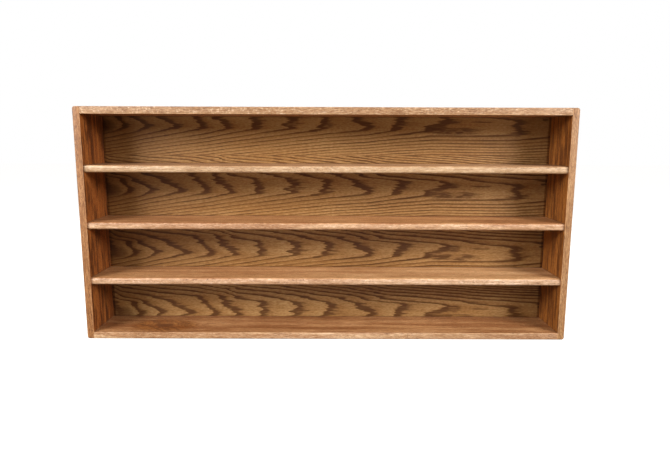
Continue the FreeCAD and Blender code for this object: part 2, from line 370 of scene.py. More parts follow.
def makeVeneerFigure():
    # dark ring bands of a flat-sawn leaf: nested arches that point right
    group, make, given, out = newGroup("veneerFigure", [("Position", "Vector", (0, 0, 0))],
                                       [("Band", "Float"), ("Late", "Float"), ("Spot", "Float"),
                                        ("Seam", "Float"), ("Local", "Vector")])
    size = veneerFigure
    x, y, z = make.split(given["Position"])
    fromTop = make.less(topZ / mm, z)
    leafPlace = make.math("DIVIDE", make.less(fromTop, size["firstSeam"] - size["leafHeight"]),
                          size["leafHeight"])
    leaf = make.math("FLOOR", leafPlace)
    down = make.times(make.math("FRACT", leafPlace), size["leafHeight"])
    fromLeft = make.less(make.plus(x, innerX / mm), make.times(make.less(leaf, 1.0), size["slide"]))
    local = make.xyz(fromLeft, down, make.times(leaf, 5.0))
    drop = make.ramp(fromLeft, 650.0, 1250.0, 0.0, size["tipDrop"])
    wave = make.less(make.noise(local, (420, 300, 90), detail=1.0), 0.5)
    below = make.less(down, make.plus(make.plus(size["tipLine"], drop), make.times(wave, 8.0)))
    lower = make.math("MAXIMUM", below, 0.0)
    upper = make.math("MAXIMUM", make.times(below, -1.0), 0.0)
    # the bands are torn along the grain, most at the tips and least in the long lower limbs
    tear = make.less(make.noise(local, (130, 13, 90), detail=1.0), 0.5)
    jag = make.less(make.noise(local, (70, 5.5, 50), detail=1.0), 0.5)
    fine = make.less(make.noise(local, (45, 2.6, 30), detail=2.0, roughness=0.6), 0.5)
    tearing = make.times(make.ramp(fromLeft, 40.0, 330.0, 0.25, 1.0), make.ramp(lower, 2.0, 26.0, 1.0, 0.12))
    torn = make.plus(make.plus(make.times(tear, 38.0), make.times(jag, 32.0)), make.times(fine, 14.0))
    shifted = make.plus(fromLeft, make.times(tearing, torn))
    atTips = ringCurve(make, shifted, size["tips"])
    atShoulders = ringCurve(make, shifted, size["shoulders"])
    atCrowns = ringCurve(make, shifted, size["crowns"])
    toShoulders = make.ramp(upper, 0.0, size["shoulderRise"])
    toCrowns = make.ramp(upper, size["shoulderRise"], size["crownRise"])
    year = make.plus(atTips, make.times(toShoulders, make.less(atShoulders, atTips)))
    year = make.plus(year, make.times(toCrowns, make.less(atCrowns, atShoulders)))
    pitch = make.ramp(fromLeft, 0.0, 1280.0, 13.5, 10.5)
    bend = 12.0
    limb = make.less(make.math("SQRT", make.plus(make.times(lower, lower), bend * bend)), bend)
    closing = make.plus(1.0, make.math("DIVIDE", limb, 200.0))    # the limbs lie closer further down
    year = make.plus(year, make.times(make.math("DIVIDE", limb, pitch), closing))
    above = make.math("MAXIMUM", upper, size["crownRise"])
    steepness = make.ramp(fromLeft, 100.0, 1100.0, 42.0, 36.0)
    rise = make.less(make.times(above, above), size["crownRise"] ** 2)
    year = make.plus(year, make.math("DIVIDE", rise, make.times(steepness, steepness)))
    ripple = make.less(make.noise(local, (190, 8, 30), detail=2.0), 0.5)
    feather = make.less(make.noise(local, (38, 1.8, 20), detail=1.0), 0.5)
    awayFromTips = make.math("MAXIMUM", make.ramp(lower, 4.0, 24.0), make.ramp(upper, 40.0, 65.0))
    calm = make.less(1.0, make.times(awayFromTips, 0.45))
    year = make.plus(year, make.times(calm, make.plus(make.times(ripple, 0.3), make.times(feather, 0.16))))
    # a band starts sharply and ends in streaks, longest at the tips
    atLimbs = make.ramp(lower, 1.0, 22.0)
    thickness = make.ramp(make.noise(local, (60, 14, 20), detail=1.0), 0.3, 0.7, 0.15, 0.27)
    streak = make.ramp(make.noise(local, (26, 3.4, 20), detail=1.5), 0.35, 0.68, -0.05, 0.08)
    thickness = make.plus(thickness, make.times(streak, make.less(1.0, make.times(atLimbs, 0.85))))
    thickness = make.plus(thickness, make.times(awayFromTips, make.ramp(fromLeft, 400.0, 1150.0, 0.0, 0.13)))
    softness = make.ramp(atLimbs, 0.0, 1.0, 0.22, 0.09)
    year = make.plus(year, 0.04)
    phase = make.math("FRACT", year)
    ownLine = make.xyz(fromLeft, make.math("FLOOR", year), make.times(leaf, 5.0))
    weight = make.ramp(make.noise(ownLine, (150, 0.9, 9), detail=1.0), 0.34, 0.6, 0.5, 1.0)
    weight = make.less(1.0, make.times(make.less(1.0, weight), atLimbs))
    begins = make.ramp(phase, 0.0, 0.05)
    ends = make.ramp(make.math("DIVIDE", make.less(phase, thickness), softness), 0.0, 1.0, 1.0, 0.0)
    fromEye = make.split(make.vector("DIVIDE", make.xyz(make.less(shifted, 6.0), below, 0.0), (46.0, 24.0, 1.0)))
    eye = make.plus(make.times(fromEye[0], fromEye[0]), make.times(fromEye[1], fromEye[1]))
    eye = make.ramp(eye, 0.1, 1.1, 0.75, 0.0)    # the dark heart of each leaf, at its left end
    bands = make.times(weight, make.times(begins, ends))
    make.put(out["Band"], make.math("MAXIMUM", bands, eye))
    make.put(out["Late"], make.ramp(phase, 0.25, 0.95))
    flecked = make.ramp(make.noise(local, (34, 3.6, 20), detail=1.5), 0.4, 0.56, 0.3, 1.0)
    spots = 0.0
    for markX, markDown, halfX, halfZ, strength in size["marks"]:
        offset = make.split(make.vector("DIVIDE", make.xyz(make.less(fromLeft, markX), make.less(down, markDown), 0.0),
                                        (halfX, halfZ, 1.0)))
        far = make.plus(make.times(offset[0], offset[0]), make.times(offset[1], offset[1]))
        spot = make.ramp(make.plus(far, make.times(fine, 2.0)), 0.3, 1.3, strength, 0.0)
        spots = make.math("MAXIMUM", spots, make.times(spot, flecked) if halfZ > 5 else spot)
    make.put(out["Spot"], spots)
    fromSeam = make.math("MINIMUM", down, make.less(size["leafHeight"], down))
    make.put(out["Seam"], make.ramp(fromSeam, 0.15, 0.55, 1.0, 0.0))
    make.put(out["Local"], local)
    return group


edgeWearAndHighlight = makeEdgeWearAndHighlight()
cornerShadeAndGrime = makeCornerShadeAndGrime()
oakGrain = makeOakGrain()
figure = makeVeneerFigure()
print("shared effects made")


# Finishes of the pieces

oakTones = {
    "light": (0.62, 0.375, 0.195),
    "dark": (0.41, 0.20, 0.085),
    "pore": (0.15, 0.062, 0.028),
    "ray": (0.85, 0.60, 0.38),
    "face": (0.80, 0.62, 0.47),     # the broad faces are redder and darker than the front edges: partly the wood, partly painted shade on the faces and painted light on the front edges
    "edge": (1.08, 1.1, 1.13),
}


def oakMaterial(name, centre, half, pith, seed, upright=False, lean=0.0, ringWidth=2.8, wander=9.0,
                rings=0.45, pores=0.7, rays=0.3, mottle=0.14, streaks=0.4, streakSize=(560, 21),
                streakTone=None, face=None, edge=None, faceRight=None, edgeRight=None, inner=None,
                knot=None):
    # centre and half in metres; pith is where the heart lies from the centre, in mm across the grain
    material, make, shader = newMaterial(name, coat=0.1)
    coords = make.add("ShaderNodeTexCoord").outputs
    place = inMillimetres(make, coords["Object"])
    isFront = make.ramp(make.times(make.split(coords["Normal"])[1], -1.0), 0.35, 0.9)
    turn = Euler((0, math.pi / 2 if upright else 0, math.radians(lean)))
    middle = turn.to_matrix() @ Vector(centre) / mm + Vector((0, pith[0], pith[1]))
    mapping = make.add("ShaderNodeMapping", {"Vector": coords["Object"], "Location": -middle,
                                             "Rotation": turn, "Scale": (1 / mm, 1 / mm, 1 / mm)})
    values = {"Position": mapping.outputs[0], "Seed": seed, "Ring Width": ringWidth, "Wander": wander,
              "Ring Contrast": rings, "Pore Contrast": pores, "Ray Contrast": rays, "Mottle": mottle,
              "Streak Contrast": streaks, "Streak Size": streakSize + streakSize[1:]}
    for tone in ("light", "dark", "pore", "ray"):
        values[tone.title()] = oakTones[tone] + (1,)
    values["Streak"] = (streakTone or oakTones["dark"]) + (1,)
    faceTone, edgeTone = (face or oakTones["face"]) + (1,), (edge or oakTones["edge"]) + (1,)
    toRight = make.ramp(make.split(place)[0], -330.0, 330.0)    # one board may change tone along its length
    if faceRight:
        faceTone = make.blend(toRight, faceTone, faceRight + (1,))
    if edgeRight:
        edgeTone = make.blend(toRight, edgeTone, edgeRight + (1,))
    if inner:    # painted shade: the inner face of a side is made darker and redder than the outer face, and its short dark streaks deepen the painted shade
        isShadedInner = make.math("LESS_THAN", make.math("ABSOLUTE", make.split(place)[0]), innerX / mm + 0.6)
        isShadedInner = make.times(isShadedInner, make.less(1.0, isFront))
        faceTone = make.blend(isShadedInner, faceTone, inner["face"] + (1,))
        values["Streak"] = inner["streak"] + (1,)
        values["Streak Contrast"] = make.ramp(isShadedInner, 0.0, 1.0, 0.12, 0.95)
    if knot:
        values["Knot Place"], values["Knot Size"] = knot
    grain = make.add("ShaderNodeGroup", node_tree=oakGrain)
    for key, value in values.items():
        make.put(grain.inputs[key], value)
    wearAndHighlight = make.add("ShaderNodeGroup", node_tree=edgeWearAndHighlight)
    make.put(wearAndHighlight.inputs["Position"], place)
    make.put(wearAndHighlight.inputs["Centre"], tuple(c / mm for c in centre))
    make.put(wearAndHighlight.inputs["Half Size"], tuple(h / mm for h in half))
    shadeAndGrime = make.add("ShaderNodeGroup", {"Position": place, "Width": 2.2}, node_tree=cornerShadeAndGrime)
    # front edges lighter, broad faces darker and redder: partly the wood's own tone, partly painted light and shade
    tone = make.blend(isFront, faceTone, edgeTone)
    color = make.blend(1.0, grain.outputs["Color"], tone, mode="MULTIPLY")
    # paler edges: some wear, and a painted highlight along the arrises
    wornAndHighlit = tuple(c * 1.2 for c in oakTones["light"]) + (1,)
    color = make.blend(make.times(wearAndHighlight.outputs["Mask"], 0.3), color, wornAndHighlit)
    # painted shade in the inside corners, with some gathered finish and dust
    color = make.blend(make.times(shadeAndGrime.outputs["Mask"], 0.6), color, oakTones["pore"] + (1,))
    make.put(shader.inputs["Base Color"], color)
    rough = make.less(grain.outputs["Rough"], make.times(wearAndHighlight.outputs["Mask"], 0.08))
    make.put(shader.inputs["Roughness"], rough)
    bump = make.add("ShaderNodeBump", {"Strength": 0.35, "Distance": 0.00025,
                                       "Height": grain.outputs["Height"]})
    make.put(shader.inputs["Normal"], bump.outputs[0])
    return material


veneerTones = {
    "light": (0.415, 0.243, 0.095, 1),
    "brown": (0.275, 0.131, 0.037, 1),
    "band": (0.082, 0.0305, 0.008, 1),
    "pore": (0.09, 0.0325, 0.009, 1),
    "paintedShade": (0.42, 0.29, 0.16, 1),      # painted shade on the panel, most at both ends, where the sides shade it
    # how far along from the middle, and how much painted shade; the lowest row has less of it at the left
    "shadeAlongRows": ((-640, 1.0), (-560, 0.5), (-360, 0.27), (-270, 0.03), (0, 0.05), (90, 0.25), (240, 0.2),
               (360, 0.05), (520, 0.05), (640, 0.6)),
    "rearLight": (0.62, 0.42, 0.25, 1),
    "rearDark": (0.44, 0.26, 0.14, 1),
}


def rearVeneer(make, place):
    # the plain rotary-cut veneer of the rear face: wide, wandering contours
    tones = veneerTones
    hill = make.times(make.noise(place, (640, 60, 95), detail=1.5), 11.0)
    torn = make.times(make.noise(place, (60, 8, 4), detail=2.0), 0.7)
    phase = make.math("FRACT", make.plus(hill, torn))
    band = make.times(make.ramp(phase, 0.0, 0.08), make.ramp(phase, 0.15, 0.5, 1.0, 0.0))
    flecks = make.ramp(make.noise(place, (11, 20, 0.9), detail=1.0), 0.55, 0.7)
    color = make.blend(make.times(band, 0.6), tones["rearLight"], tones["rearDark"])
    return make.blend(make.times(flecks, 0.45), color, tones["pore"])


def veneerMaterial():
    material, make, shader = newMaterial("oakVeneer", shine=0.25)
    coords = make.add("ShaderNodeTexCoord").outputs
    place = inMillimetres(make, coords["Object"])
    tones = veneerTones
    rings = make.add("ShaderNodeGroup", {"Position": place}, node_tree=figure).outputs
    local = rings["Local"]
    fibre = make.noise(local, (120, 1.6, 20), detail=3.0, roughness=0.6)
    streaks = make.noise(local, (60, 2.4, 20), detail=2.0)
    pores = make.ramp(make.noise(local, (13, 0.8, 20), detail=1.0), 0.54, 0.68)
    flecks = make.ramp(make.noise(local, (10, 2.1, 20), detail=1.5), 0.52, 0.68)
    cloud = make.noise(local, (300, 45, 20), detail=2.0)
    late = make.plus(make.times(rings["Late"], 0.5), make.ramp(cloud, 0.3, 0.7, 0.5, 0.0))
    color = make.blend(late, tones["brown"], tones["light"])
    color = make.blend(make.ramp(fibre, 0.35, 0.75, 0.0, 0.3), color, tones["band"])
    mottle = make.ramp(make.noise(local, (9, 2.6, 20), detail=2.0, roughness=0.6), 0.28, 0.72, 0.84, 1.16)
    color = make.blend(1.0, color, make.tint(mottle, 1.4, 1.9), mode="MULTIPLY")
    dark = make.times(rings["Band"], make.ramp(streaks, 0.3, 0.7, 1.0, 0.8))
    color = make.blend(dark, color, tones["band"])
    openness = make.ramp(rings["Band"], 0.0, 1.0, 0.5, 0.9)
    color = make.blend(make.times(make.times(flecks, 0.34), openness), color, tones["pore"])
    color = make.blend(make.times(make.times(pores, 0.5), openness), color, tones["pore"])
    color = make.blend(rings["Spot"], color, tones["band"])
    color = make.blend(make.times(rings["Seam"], 0.45), color, tones["pore"])
    shadeAndGrime = make.add("ShaderNodeGroup", {"Position": place, "Width": 3.0}, node_tree=cornerShadeAndGrime)
    # painted shade in the inside corners of the rows, with some gathered finish and dust
    color = make.blend(make.times(shadeAndGrime.outputs["Mask"], 0.7), color, tones["pore"])
    x, y, z = make.split(place)
    # painted shade along the rows: darker at both ends, where the sides shade the panel, and in two places near the
    # middle
    curve = make.add("ShaderNodeFloatCurve", {"Factor": 1.0, "Value": make.plus(0.5, make.math("DIVIDE", x, 1400.0))})
    points = curve.mapping.curves[0].points
    for index, (along, shadeAmount) in enumerate(tones["shadeAlongRows"]):
        point = points[index] if index < 2 else points.new(0.0, 0.0)
        point.location = (0.5 + along / 1400.0, shadeAmount)
    curve.mapping.update()
    lessShadeLowLeft = make.times(make.ramp(z, 110.0, 170.0, 1.0, 0.0), make.ramp(x, -300.0, -200.0, 1.0, 0.0))
    paintedShade = make.times(curve.outputs[0], make.less(1.0, make.times(lessShadeLowLeft, 0.8)))
    color = make.blend(paintedShade, color, tones["paintedShade"], mode="MULTIPLY")
    isRear = make.ramp(make.split(coords["Normal"])[1], 0.3, 0.7)
    color = make.blend(isRear, color, rearVeneer(make, place))
    make.put(shader.inputs["Base Color"], color)
    deep = make.plus(make.times(pores, 0.7), make.times(rings["Seam"], 0.6))
    make.put(shader.inputs["Roughness"], make.plus(0.4, make.times(deep, 0.2)))
    bump = make.add("ShaderNodeBump", {"Strength": 0.3, "Distance": 0.0002,
                                       "Height": make.less(make.times(fibre, 0.3), deep)})
    make.put(shader.inputs["Normal"], bump.outputs[0])
    return material


def plugMaterial():
    # face-grain plugs, each from its own bit of oak: place, shift and tone come with the mesh
    material, make, shader = newMaterial("plugOak", coat=0.1)
    place = make.add("ShaderNodeAttribute", attribute_name="place").outputs["Vector"]
    shift = make.add("ShaderNodeAttribute", attribute_name="shift").outputs["Vector"]
    tone = make.add("ShaderNodeAttribute", attribute_name="tone").outputs["Fac"]
    place = inMillimetres(make, place)
    values = {"Position": make.vector("ADD", place, shift), "Seed": 8.3, "Ring Contrast": 0.5,
              "Pore Contrast": 0.65, "Ray Contrast": 0.25, "Streak Contrast": 0.3}
    for key in ("light", "dark", "pore", "ray"):
        values[key.title()] = oakTones[key] + (1,)
    grain = make.add("ShaderNodeGroup", values, node_tree=oakGrain)
    color = make.blend(1.0, grain.outputs["Color"], make.xyz(tone, tone, tone), mode="MULTIPLY")
    across = make.split(place)
    fromAxis = make.math("SQRT", make.plus(make.times(across[0], across[0]), make.times(across[1], across[1])))
    glueLine = make.ramp(fromAxis, plugSize["radius"] / mm - 0.35, plugSize["radius"] / mm - 0.1, 0.0, 0.7)
    make.put(shader.inputs["Base Color"], make.blend(glueLine, color, oakTones["pore"] + (1,)))
    make.put(shader.inputs["Roughness"], grain.outputs["Rough"])
    bump = make.add("ShaderNodeBump", {"Strength": 0.35, "Distance": 0.0002,
                                       "Height": grain.outputs["Height"]})
    make.put(shader.inputs["Normal"], bump.outputs[0])
    return material


def steelMaterial(name, tone):
    # plated steel: fine scratches and dulled patches
    material, make, shader = newMaterial(name, metallic=1.0)
    place = inMillimetres(make, make.add("ShaderNodeTexCoord").outputs["Object"])
    patches = make.noise(place, (3.0, 3.0, 3.0), detail=3.0)
    scratches = make.noise(place, (0.25, 4.0, 0.25), detail=2.0)
    dull = tuple(c * 0.6 for c in tone) + (1,)
    make.put(shader.inputs["Base Color"], make.blend(make.ramp(patches, 0.35, 0.7), tone + (1,), dull))
    rough = make.plus(make.ramp(patches, 0.3, 0.7, 0.22, 0.42), make.times(scratches, 0.12))
    make.put(shader.inputs["Roughness"], rough)
    bump = make.add("ShaderNodeBump", {"Strength": 0.2, "Distance": 0.00005, "Height": scratches})
    make.put(shader.inputs["Normal"], bump.outputs[0])
    return material


# Boards

boardShape = {
    "cornerRadius": 6.35 * mm,      # outer ends of the sides
    "frontRadius": 3.175 * mm,      # outer front edge of the case
    "shelfFrontRadius": 6.35 * mm,  # both front edges of a shelf
    "easedRadius": 0.5 * mm,        # the other edges
    "endBevel": 0.3 * mm,           # round the ends that meet the sides, so that the joints show
    "rabbetWidth": 9.525 * mm,
    "housingDepth": 4.7625 * mm,
    "housingStop": 25.4 * mm,
    "gap": 0.1 * mm,                # glue gap round a shelf end
    "arcSteps": 10,
}

# both kinds of screw, and the bores that they need
holeSize = {
    "side_screws": {"head": 4.1 * mm, "headHeight": 2.7 * mm, "shank": 2.1 * mm},
    "panel_screws": {"head": 3.4 * mm, "headHeight": 2.0 * mm, "shank": 1.75 * mm},
    "clearance": 0.1 * mm,
    "past": 1.0 * mm,
    "sides": 24,
}

plugSize = {"radius": 4.7625 * mm, "length": 5.0 * mm, "crown": 0.15 * mm, "gap": 0.05 * mm,
            "sides": 40, "rings": 6, "spin": 0.3, "seed": 7}


def arc(centre, radius, start, end, steps=None):
    # points on a part circle in the plane of a profile; angles in degrees
    steps = steps or boardShape["arcSteps"]
    turns = [math.radians(start + (end - start) * i / steps) for i in range(steps + 1)]
    return [(centre[0] + radius * math.cos(a), centre[1] + radius * math.sin(a)) for a in turns]


def drawnIn(profile, distance):
    # the same closed profile with every edge moved inwards by distance
    points = [Vector(point) for point in profile]
    area = sum(a.x * b.y - a.y * b.x for a, b in zip(points, points[1:] + points[:1]))
    inwards = 1 if area > 0 else -1
    moved = []
    for before, here, after in zip(points[-1:] + points[:-1], points, points[1:] + points[:1]):
        normals = [Vector((-edge.y, edge.x)).normalized() * inwards for edge in (here - before, after - here)]
        middle = (normals[0] + normals[1]).normalized()
        moved.append(tuple(here + middle * (distance / max(middle.dot(normals[0]), 0.3))))
    return moved


def smoothed(data):
    for polygon in data.polygons:
        polygon.use_smooth = True
    data.set_sharp_from_angle(angle=math.radians(35))


def finishedPiece(name, mesh, material):
    bmesh.ops.recalc_face_normals(mesh, faces=mesh.faces)
    data = bpy.data.meshes.new(name)
    mesh.to_mesh(data)
    mesh.free()
    data.materials.append(material)
    smoothed(data)
    piece = bpy.data.objects.new(name, data)
    bpy.context.scene.collection.objects.link(piece)
    return piece


def applied(piece, helpers=()):
    # the piece with its modifiers made plain mesh, under its own name
    evaluated = piece.evaluated_get(bpy.context.evaluated_depsgraph_get())
    data = bpy.data.meshes.new_from_object(evaluated)
    piece.modifiers.clear()
    piece.data = data
    smoothed(data)
    for helper in helpers:
        bpy.data.objects.remove(helper)
    return piece


def loft(mesh, loops, capped=True):
    # joins loops of equally many points; gives the rows of vertices
    rows = [[mesh.verts.new(point) for point in loop] for loop in loops]
    for lower, upper in zip(rows, rows[1:]):
        for i in range(len(lower)):
            j = (i + 1) % len(lower)
            mesh.faces.new((lower[i], lower[j], upper[j], upper[i]))
    if capped:
        mesh.faces.new(rows[0])
        mesh.faces.new(rows[-1])
    return rows


def cutBlock(mesh, low, high):
    made = bmesh.ops.create_cube(mesh, size=1.0)["verts"]
    middle, size = (Vector(low) + Vector(high)) / 2, Vector(high) - Vector(low)
    for vert in made:
        vert.co = Vector([middle[i] + vert.co[i] * abs(size[i]) for i in range(3)])


def cutBore(mesh, start, axis, steps):
    # a turned hole from start along axis; steps are (depth, radius)
    axis = Vector(axis)
    across = axis.orthogonal().normalized()
    other = axis.cross(across)
    loops = []
    for depth, radius in steps:
        turns = [2 * math.pi * i / holeSize["sides"] for i in range(holeSize["sides"])]
        loops.append([Vector(start) + axis * depth + radius * (across * math.cos(a) + other * math.sin(a))
                      for a in turns])
    loft(mesh, loops)


def cutAway(piece, cutter):
    cutters = finishedPiece(piece.name + "_cutters", cutter, piece.data.materials[0])
    cut = piece.modifiers.new("joints", "BOOLEAN")
    cut.object = cutters
    cut.solver = "EXACT"
    cut.use_self = True
    return applied(piece, [cutters])


def middleOf(box):
    return (box[0] + box[1]) / 2


def boreForPanelScrews(cutter, names):
    # holes from in front of the panel backwards, as deep as the screws go
    radius = holeSize["panel_screws"]["shank"] + holeSize["clearance"]
    for name in names:
        for low, high in islandsOf("panel_screws_" + name):
            x, y, z = middleOf((low, high))
            cutBore(cutter, (x, low.y, z), (0, 1, 0), [(0, radius), (rearY + holeSize["past"] - low.y, radius)])


def boreBoard(piece, name):
    # holes for the screws that come in through the sides and through the back panel
    cutter = bmesh.new()
    radius = holeSize["side_screws"]["shank"] + holeSize["clearance"]
    for low, high in islandsOf(name + "_screws"):
        x, y, z = middleOf((low, high))
        side = math.copysign(1, x)
        deepest = min(abs(low.x), abs(high.x))
        cutBore(cutter, (side * outerX, y, z), (-side, 0, 0), [(0, radius), (outerX - deepest, radius)])
    boreForPanelScrews(cutter, [name])
    return cutAway(piece, cutter)


def deckPiece(name, material):
    # the top or the bottom board: one profile carried from side to side
    low, high = boxOf(name)
    shape = boardShape
    front, eased, bevel = shape["frontRadius"], shape["easedRadius"], shape["endBevel"]
    profile = [(rearY - eased, high.z)] + arc((frontY + front, high.z - front), front, 90, 180)
    profile += arc((frontY + eased, low.z + eased), eased, 180, 270, steps=4)
    lapZ = low.z + shape["rabbetWidth"]
    profile += [(panelFrontY, low.z), (panelFrontY, lapZ), (rearY, lapZ)]
    profile += arc((rearY - eased, high.z - eased), eased, 0, 90, steps=4)[:-1]
    if name == "bottom_board":
        profile = [(y, high.z + low.z - z) for y, z in profile]
    smaller = drawnIn(profile, bevel)
    mesh = bmesh.new()
    sections = ((-innerX, smaller), (bevel - innerX, profile), (innerX - bevel, profile), (innerX, smaller))
    loft(mesh, [[(x, y, z) for y, z in section] for x, section in sections])
    return boreBoard(finishedPiece(name + "_oak", mesh, material), name)


def shelfPiece(name, material):
    # a round-fronted shelf whose ends go on, behind the front, into the sides
    low, high = boxOf(name)
    radius = boardShape["shelfFrontRadius"]
    notchY = frontY + boardShape["housingStop"] + boardShape["gap"]
    front = arc((low.y + radius, high.z - radius), radius, 90, 180)
    front += arc((low.y + radius, low.z + radius), radius, 180, 270)
    profile = [(high.y, high.z), (notchY, high.z)] + front + [(notchY, low.z), (high.y, low.z)]
    mesh = bmesh.new()
    rows = loft(mesh, [[(x, y, z) for y, z in profile] for x in (-innerX, innerX)], capped=False)
    for row, x in zip(rows, (low.x, high.x)):
        mesh.faces.new(row[1:-1])                       # the shoulder that meets the side
        corners = (row[0], row[1], row[-2], row[-1])    # the part that goes on into the side
        tongue = [mesh.verts.new((x, vert.co.y, vert.co.z)) for vert in corners]
        for i in range(4):
            j = (i + 1) % 4
            mesh.faces.new((corners[i], corners[j], tongue[j], tongue[i]))
        mesh.faces.new(tongue)
    return boreBoard(finishedPiece(name + "_oak", mesh, material), name)


def sideOutline(side, inset, innerInset):
    # a side seen from the front, drawn in by inset, and at its inner face by innerInset
    radius = boardShape["cornerRadius"] - inset
    outer, inner = outerX - inset, innerX + innerInset
    points = [(inner, inset)] + arc((outer - radius, inset + radius), radius, -90, 0)
    points += arc((outer - radius, topZ - inset - radius), radius, 0, 90) + [(inner, topZ - inset)]
    return [(side * x, z) for x, z in points]


def sidePiece(name, side, material):
    # a full-height side, with its rabbet, housings, plug holes and screw holes cut out
    shape = boardShape
    front, eased = shape["frontRadius"], shape["easedRadius"]
    layers = []
    for step in range(10):
        turn = math.radians(10 * step)
        depth = front * (1 - math.cos(turn))
        short = max(eased - depth, 0.0)
        layers.append((front * (1 - math.sin(turn)), eased - math.sqrt(eased ** 2 - short ** 2), frontY + depth))
    for step in range(4):
        turn = math.radians(30 * step)
        layers.append((eased * (1 - math.cos(turn)), 0.0, rearY - eased * (1 - math.sin(turn))))
    mesh = bmesh.new()
    loft(mesh, [[(x, y, z) for x, z in sideOutline(side, inset, innerInset)] for inset, innerInset, y in layers])
    piece = finishedPiece(name + "_oak", mesh, material)
    past = holeSize["past"]
    cutter = bmesh.new()
    cutBlock(cutter, (side * (innerX - past), panelFrontY, deckTopZ - shape["rabbetWidth"]),
             (side * (innerX + shape["rabbetWidth"]), rearY + past, topZ - deckTopZ + shape["rabbetWidth"]))
    for shelf in shelfNames:
        low, high = boxOf(shelf)
        cutBlock(cutter, (side * (innerX - past), frontY + shape["housingStop"], low.z - shape["gap"]),
                 (side * (innerX + shape["housingDepth"]), panelFrontY + past, high.z + shape["gap"]))
    screw, clearance = holeSize["side_screws"], holeSize["clearance"]
    plugEnd = plugSize["length"] + plugSize["gap"]
    plugRadius = plugSize["radius"] + plugSize["gap"]
    for board in boardNames:
        for box in islandsOf(board + "_screws"):
            x, y, z = middleOf(box)
            if x * side < 0:
                continue
            steps = [(-past, plugRadius), (plugEnd, plugRadius), (plugEnd, screw["head"] + clearance),
                     (plugEnd + screw["headHeight"], screw["shank"] + clearance),
                     (outerX - innerX + past, screw["shank"] + clearance)]
            cutBore(cutter, (side * outerX, y, z), (-side, 0, 0), steps)
    boreForPanelScrews(cutter, [name])
    return cutAway(piece, cutter)


def spread(name):
    low, high = boxOf(name)
    return tuple((low + high) / 2), tuple((high - low) / 2)


def takePlace(piece, slot, *nodes):
    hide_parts(*nodes)
    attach(piece, "root")


boardLooks = {
    "top_board": {"pith": (-107, -95), "seed": 1.3, "rays": 0.9, "lean": 3.5, "streaks": 0.25, "pores": 0.85,
                  "mottle": 0.3, "edge": (0.64, 0.605, 0.575)},
    "upper_shelf": {"pith": (30, -80), "seed": 2.7, "lean": -1.0, "face": (0.83, 0.75, 0.70),
                    "faceRight": (1.02, 1.0, 0.98),
                    "edge": (0.89, 1.01, 1.14)},
    "middle_shelf": {"pith": (-10, 75), "seed": 3.1, "lean": 1.2, "streaks": 0.75, "streakSize": (380, 40),
                     "streakTone": (0.34, 0.15, 0.06), "mottle": 0.2, "face": (0.85, 0.67, 0.50),
                     "faceRight": (0.95, 0.77, 0.575),
                     "edge": (0.94, 0.97, 1.07)},
    "lower_shelf": {"pith": (55, -60), "seed": 4.9, "lean": -0.6, "streaks": 0.6, "streakSize": (420, 36),
                    "streakTone": (0.36, 0.17, 0.07), "face": (0.91, 0.76, 0.60),
                    "faceRight": (1.13, 1.07, 0.93), "edge": (1.05, 1.14, 1.35), "edgeRight": (0.96, 1.06, 1.29)},
    "bottom_board": {"pith": (-20, -52), "seed": 5.5, "lean": 0.9, "knot": ((-462, -4, 61), (84, 52, 30)),
                     "streaks": 0.8, "streakSize": (300, 32), "streakTone": (0.34, 0.15, 0.06), "pores": 0.85,
                     "mottle": 0.2, "face": (0.68, 0.53, 0.395),
                     "faceRight": (0.75, 0.61, 0.465), "edge": (0.99, 1.05, 1.11), "edgeRight": (0.84, 0.86, 0.91)},
    # the inner tones of both sides are painted shade on their inner faces
    "left_side": {"pith": (20, -70), "seed": 6.2, "upright": True, "lean": 1.5, "streakSize": (105, 11),
                  "mottle": 0.2, "pores": 1.0, "face": (0.90, 0.75, 0.62), "edge": (0.60, 0.46, 0.325),
                  "inner": {"face": (0.55, 0.28, 0.10), "streak": (0.02, 0.008, 0.003)}},
    "right_side": {"pith": (-15, 66), "seed": 7.4, "upright": True, "lean": -1.5, "streakSize": (120, 10),
                   "mottle": 0.2, "pores": 1.0, "face": (0.90, 0.75, 0.62), "edge": (0.63, 0.545, 0.43),
                   "inner": {"face": (0.58, 0.34, 0.113), "streak": (0.08, 0.03, 0.01)}},
}
for name, look in boardLooks.items():
    material = oakMaterial(name + "Oak", *spread(name), **look)
    if name in sideNames:
        piece = sidePiece(name, -1 if name == "left_side" else 1, material)
    else:
        maker = shelfPiece if name in shelfNames else deckPiece
        piece = maker(name, material)
    takePlace(piece, "solid_oak", name)
    print(name, "made:", len(piece.data.polygons), "faces")


def dress(name, material):
    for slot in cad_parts[name].material_slots:
        slot.material = material


dress("back_panel", veneerMaterial())
yellowZinc = steelMaterial("yellowZinc", (0.72, 0.62, 0.38))
for name in boardNames:
    dress(name + "_screws", yellowZinc)
print("panel and side screws dressed")


# Plugs and small screws, grown on points

def newTree(name, sizes):
    # a geometry tree with a named input for each size
    tree = bpy.data.node_groups.new(name, "GeometryNodeTree")
    tree.interface.new_socket(name="Points", in_out="INPUT", socket_type="NodeSocketGeometry")
    for key, value in sizes.items():
        kind = "NodeSocketInt" if isinstance(value, int) else "NodeSocketFloat"
        tree.interface.new_socket(name=key, in_out="INPUT", socket_type=kind)
    tree.interface.new_socket(name="Mesh", in_out="OUTPUT", socket_type="NodeSocketGeometry")
    make = NodeMaker(tree)
    return tree, make, make.add("NodeGroupInput").outputs, make.add("NodeGroupOutput").inputs


def moved(make, mesh, z):
    return make.add("GeometryNodeTransform", {"Geometry": mesh, "Translation": make.xyz(0, 0, z)}).outputs[0]


def joined(make, *meshes):
    node = make.add("GeometryNodeJoinGeometry")
    for mesh in reversed(meshes):
        make.put(node.inputs[0], mesh)
    return node.outputs[0]


